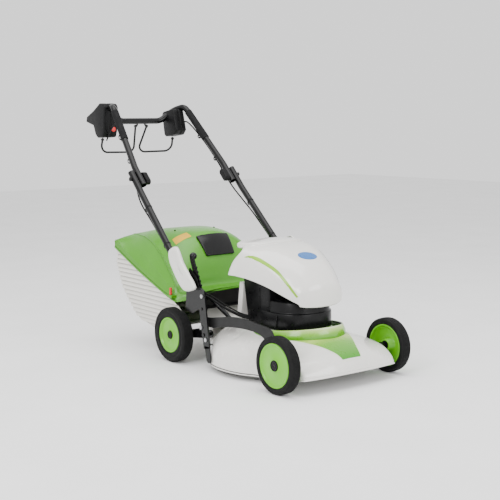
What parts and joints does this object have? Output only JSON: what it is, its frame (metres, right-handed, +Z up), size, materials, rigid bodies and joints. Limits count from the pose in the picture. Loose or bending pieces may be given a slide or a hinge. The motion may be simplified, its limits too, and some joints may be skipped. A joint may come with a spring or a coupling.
{
  "type": "battery lawn mower",
  "caption": "Walk-behind rotary battery lawn mower with white deck and hood, green collector lid, folding handle and bail levers",
  "frame": {"origin": "on the ground below the middle of the mower's length and width", "axes": "+X towards the front of the mower, +Y to its left, +Z up"},
  "size_m": [1.4189, 0.55, 0.943],
  "materials": {
    "green_plastic": "moulded green plastic",
    "white_plastic": "glossy warm white plastic",
    "white_metal": "warm white gloss enamel on the deck",
    "basket_plastic": "pale matte plastic",
    "black_plastic": "black moulded plastic",
    "grey_plastic": "dark grey plastic",
    "black_metal": "black gloss powder coat",
    "dark_metal": "dark grey satin paint",
    "steel": "bright steel",
    "tyre_rubber": "black tyre rubber",
    "soft_rubber": "black rubber",
    "copper_core": "wound copper and steel core",
    "alloy": "cast alloy",
    "yellow_plastic": "yellow button",
    "red_plastic": "red plastic"
  },
  "bodies": {
    "deck": {"deck_shell": "white_metal", "deck_nose": "white_metal", "discharge_tunnel": "white_metal", "collar_ring": "grey_plastic", "motor_housing": "black_plastic", "motor_stator": "copper_core", "battery_pack": "black_plastic", "rear_duct": "white_plastic", "rear_frame_right": "black_metal", "rear_frame_left": "black_metal", "rear_crossbeam": "black_metal", "handle_brackets": "black_metal", "handle_covers": "white_plastic", "frame_bolts": "steel", "brace_rods": "black_metal", "lower_tube_right": "black_metal", "lower_tube_left": "black_metal", "lower_cables": "soft_rubber"},
    "front_axle": {"front_crank": "black_metal"},
    "rear_axle": {"rear_swing_arms": "black_metal", "drive_gearbox": "alloy"},
    "lever": {"height_lever": "black_metal", "lever_knob": "black_plastic"},
    "link": {"height_link": "dark_metal"},
    "cutter": {"blade": "steel", "blade_shaft": "steel", "blade_bolt": "steel"},
    "hood": {"hood": "white_plastic"},
    "collector": {"collector_lid": "green_plastic", "collector_panel": "black_plastic", "collector_basket": "basket_plastic"},
    "latch": {"collector_latch": "red_plastic"},
    "upper_handle": {"upper_handle": "black_metal", "handle_sleeves": "grey_plastic", "control_box_right": "black_plastic", "control_box_left": "black_plastic", "upper_cables": "soft_rubber"},
    "knob_right": {"clamp_knob_right": "black_plastic"},
    "knob_left": {"clamp_knob_left": "black_plastic"},
    "bail_right": {"bail_right": "black_metal"},
    "bail_left": {"bail_left": "black_metal"},
    "start_button": {"start_button": "yellow_plastic"},
    "stop_button": {"stop_button": "red_plastic"},
    "wheel_front_right": {"tyre_front_right": "tyre_rubber", "rim_front_right": "green_plastic", "bearing_front_right": "black_plastic", "hub_cap_front_right": "black_plastic"},
    "wheel_front_left": {"tyre_front_left": "tyre_rubber", "rim_front_left": "green_plastic", "bearing_front_left": "black_plastic", "hub_cap_front_left": "black_plastic"},
    "wheel_rear_right": {"tyre_rear_right": "tyre_rubber", "rim_rear_right": "green_plastic", "bearing_rear_right": "black_plastic"},
    "wheel_rear_left": {"tyre_rear_left": "tyre_rubber", "rim_rear_left": "green_plastic", "bearing_rear_left": "black_plastic"}
  },
  "joints": [
    {"name": "height_lever", "type": "hinge", "parent": "deck", "child": "lever", "pos_m": [0.1818, -0.235, 0.216], "axis": [0, -1, 0], "range_deg": [0, 30]},
    {"name": "front_axle_crank", "type": "hinge", "parent": "deck", "child": "front_axle", "pos_m": [0.5778, 0, 0.06], "axis": [0, 1, 0], "range_deg": [0, 60]},
    {"name": "rear_axle_swing", "type": "hinge", "parent": "deck", "child": "rear_axle", "pos_m": [0.1918, 0, 0.125], "axis": [0, -1, 0], "range_deg": [0, 15]},
    {"name": "height_link_pivot", "type": "hinge", "parent": "lever", "child": "link", "pos_m": [0.16989, -0.22, 0.17157], "axis": [0, 1, 0], "range_deg": [0, 30]},
    {"name": "blade_spin", "type": "hinge", "parent": "deck", "child": "cutter", "pos_m": [0.3438, 0, 0.042], "axis": [0, 0, 1], "continuous": true},
    {"name": "hood_hinge", "type": "hinge", "parent": "deck", "child": "hood", "pos_m": [0.5548, 0, 0.259], "axis": [0, 1, 0], "range_deg": [0, 60]},
    {"name": "collector_lift_off", "type": "slide", "parent": "deck", "child": "collector", "axis": [-0.94, 0, 0.3412], "range_m": [0, 0.62]},
    {"name": "collector_latch_pull", "type": "slide", "parent": "collector", "child": "latch", "axis": [0, 0, 1], "range_m": [0, 0.006], "stiffness_N_per_m": 300},
    {"name": "handle_fold", "type": "hinge", "parent": "deck", "child": "upper_handle", "pos_m": [-0.2612, 0, 0.653], "axis": [0, 1, 0], "range_deg": [0, 120]},
    {"name": "clamp_knob_right_turn", "type": "hinge", "parent": "upper_handle", "child": "knob_right", "pos_m": [-0.2612, -0.2, 0.653], "axis": [0, 1, 0], "continuous": true},
    {"name": "clamp_knob_left_turn", "type": "hinge", "parent": "upper_handle", "child": "knob_left", "pos_m": [-0.2612, 0.2, 0.653], "axis": [0, 1, 0], "continuous": true},
    {"name": "bail_right_squeeze", "type": "hinge", "parent": "upper_handle", "child": "bail_right", "pos_m": [-0.6142, -0.17, 0.796], "axis": [0.0752, 0.9402, 0.3322], "range_deg": [0, 42], "stiffness_Nm_per_rad": 1.2},
    {"name": "bail_left_squeeze", "type": "hinge", "parent": "upper_handle", "child": "bail_left", "pos_m": [-0.5842, 0.15, 0.796], "axis": [0.1398, 0.9006, -0.4115], "range_deg": [0, 42], "stiffness_Nm_per_rad": 1.2},
    {"name": "start_button_press", "type": "slide", "parent": "upper_handle", "child": "start_button", "axis": [1, 0, 0], "range_m": [0, 0.004], "stiffness_N_per_m": 400},
    {"name": "stop_button_press", "type": "slide", "parent": "upper_handle", "child": "stop_button", "axis": [-1, 0, 0], "range_m": [0, 0.004], "stiffness_N_per_m": 400},
    {"name": "wheel_front_right_spin", "type": "hinge", "parent": "front_axle", "child": "wheel_front_right", "pos_m": [0.6118, 0, 0.095], "axis": [0, 1, 0], "continuous": true},
    {"name": "wheel_front_left_spin", "type": "hinge", "parent": "front_axle", "child": "wheel_front_left", "pos_m": [0.6118, 0, 0.095], "axis": [0, 1, 0], "continuous": true},
    {"name": "wheel_rear_right_spin", "type": "hinge", "parent": "rear_axle", "child": "wheel_rear_right", "pos_m": [0.0118, 0, 0.1], "axis": [0, 1, 0], "continuous": true},
    {"name": "wheel_rear_left_spin", "type": "hinge", "parent": "rear_axle", "child": "wheel_rear_left", "pos_m": [0.0118, 0, 0.1], "axis": [0, 1, 0], "continuous": true}
  ],
  "couplings": [
    {"joint": "front_axle_crank", "follows": "height_lever", "ratio": 2},
    {"joint": "rear_axle_swing", "follows": "height_lever", "ratio": 0.5},
    {"joint": "height_link_pivot", "follows": "height_lever", "ratio": 1}
  ]
}
